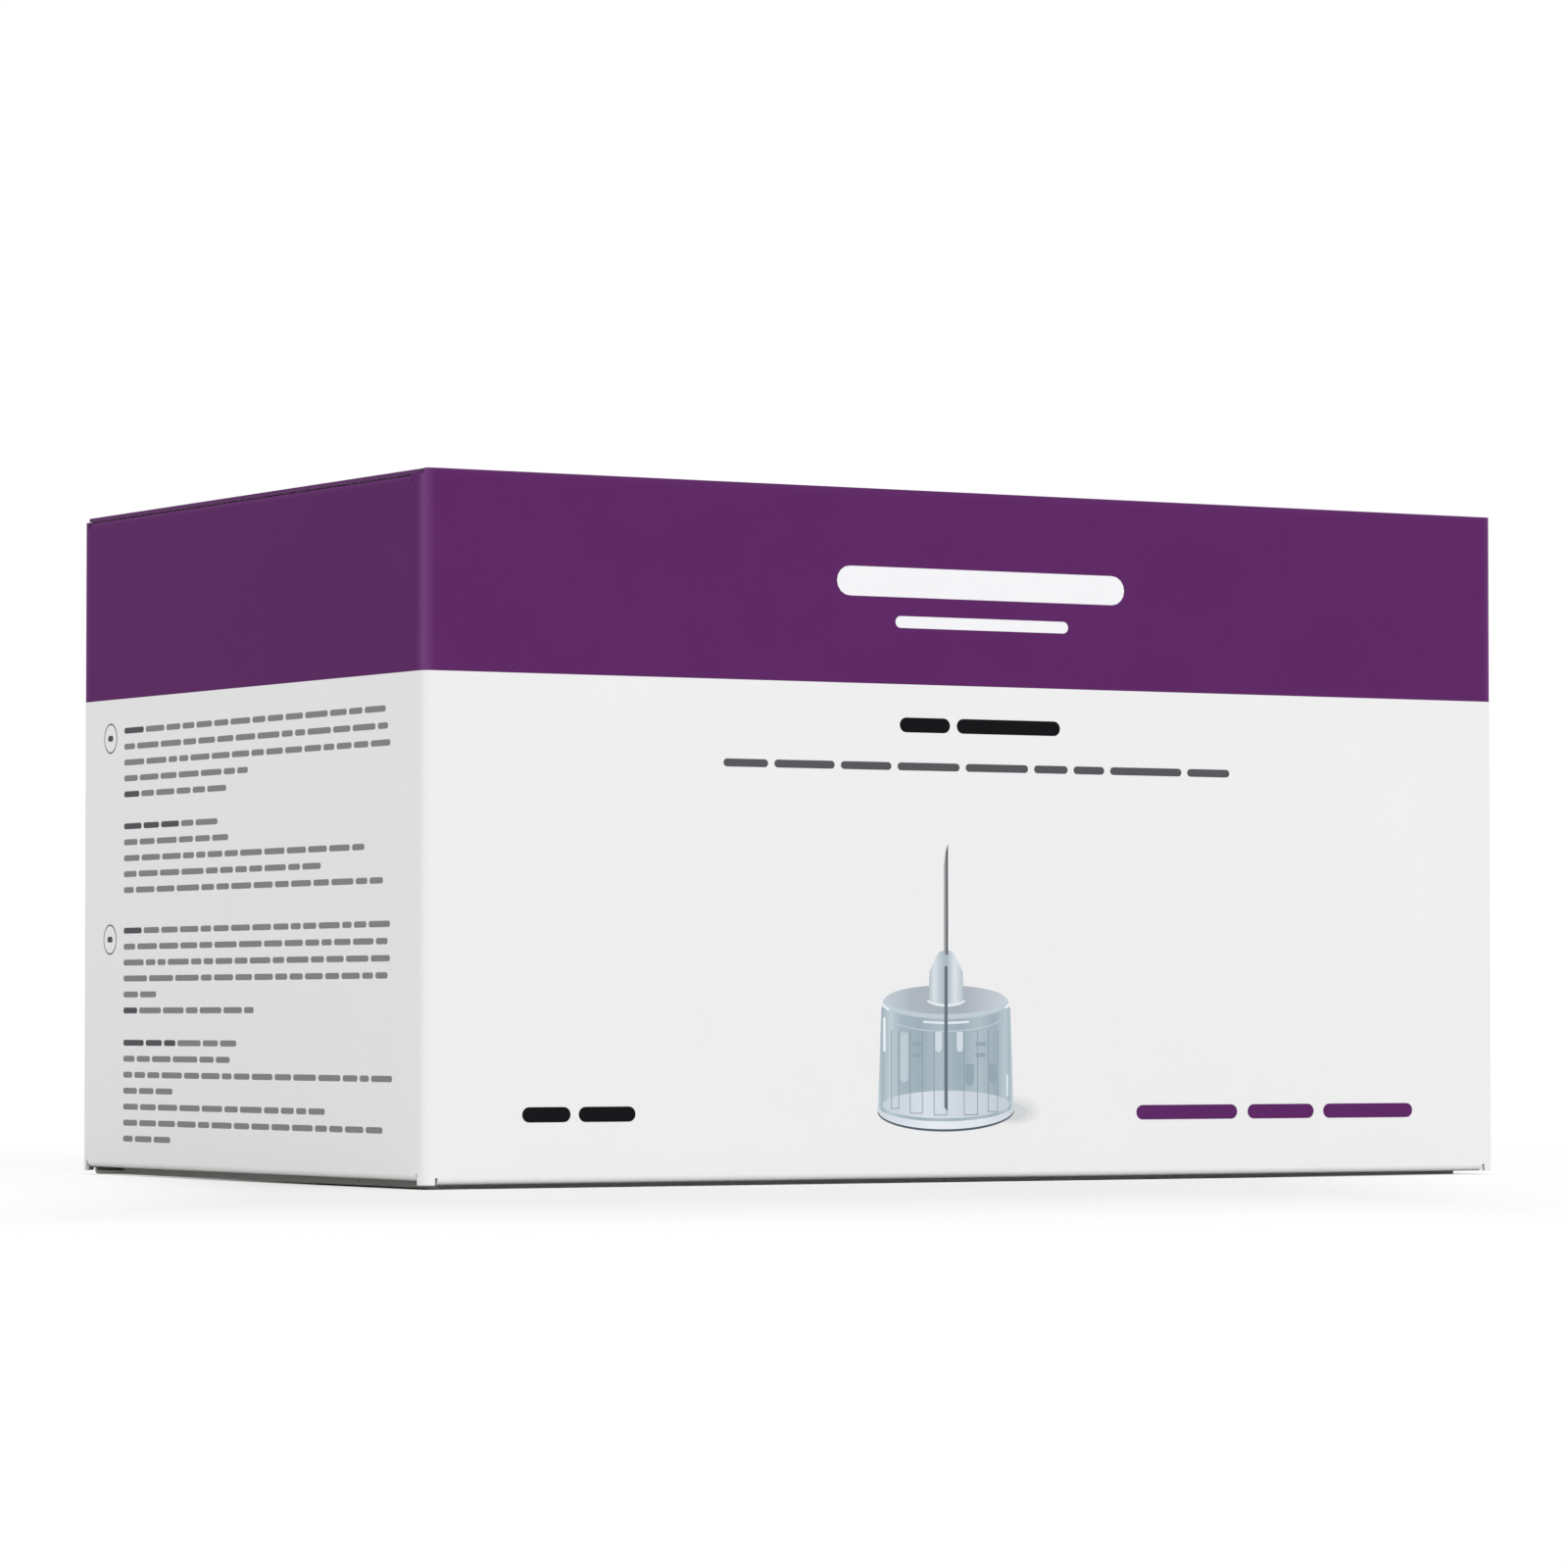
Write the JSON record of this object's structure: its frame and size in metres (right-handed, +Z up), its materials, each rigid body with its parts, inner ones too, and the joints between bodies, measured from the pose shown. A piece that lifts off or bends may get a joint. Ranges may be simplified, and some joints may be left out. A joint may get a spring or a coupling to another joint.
{
  "type": "pen needle carton",
  "caption": "Folding carton with a hinged tuck lid, holding capped and sealed pen needles in upright rows.",
  "frame": {"origin": "centre of the footprint, on the surface that the carton stands on", "axes": "+X along the front from left to right, +Y from front to back, +Z up"},
  "size_m": [0.1286, 0.0786, 0.07],
  "materials": {
    "carton_board": "satin coated",
    "lid_board": "satin coated",
    "shield_plastic": "satin",
    "tab_paper": "matte"
  },
  "bodies": {
    "carton": {"carton": "carton_board", "shields_layer_1_row_1": "shield_plastic", "shields_layer_1_row_2": "shield_plastic", "shields_layer_1_row_3": "shield_plastic", "shields_layer_1_row_4": "shield_plastic", "shields_layer_1_row_5": "shield_plastic", "shields_layer_2_row_1": "shield_plastic", "shields_layer_2_row_2": "shield_plastic", "shields_layer_2_row_3": "shield_plastic", "shields_layer_2_row_4": "shield_plastic", "shields_layer_2_row_5": "shield_plastic", "peel_tabs_layer_1_row_1": "tab_paper", "peel_tabs_layer_1_row_2": "tab_paper", "peel_tabs_layer_1_row_3": "tab_paper", "peel_tabs_layer_1_row_4": "tab_paper", "peel_tabs_layer_1_row_5": "tab_paper", "peel_tabs_layer_2_row_1": "tab_paper", "peel_tabs_layer_2_row_2": "tab_paper", "peel_tabs_layer_2_row_3": "tab_paper", "peel_tabs_layer_2_row_4": "tab_paper", "peel_tabs_layer_2_row_5": "tab_paper"},
    "lid": {"lid": "lid_board"}
  },
  "joints": [
    {"name": "lid_hinge", "type": "hinge", "parent": "carton", "child": "lid", "pos_m": [0, 0.03907, 0.0698], "axis": [-1, 0, 0], "range_deg": [0, 180]}
  ]
}
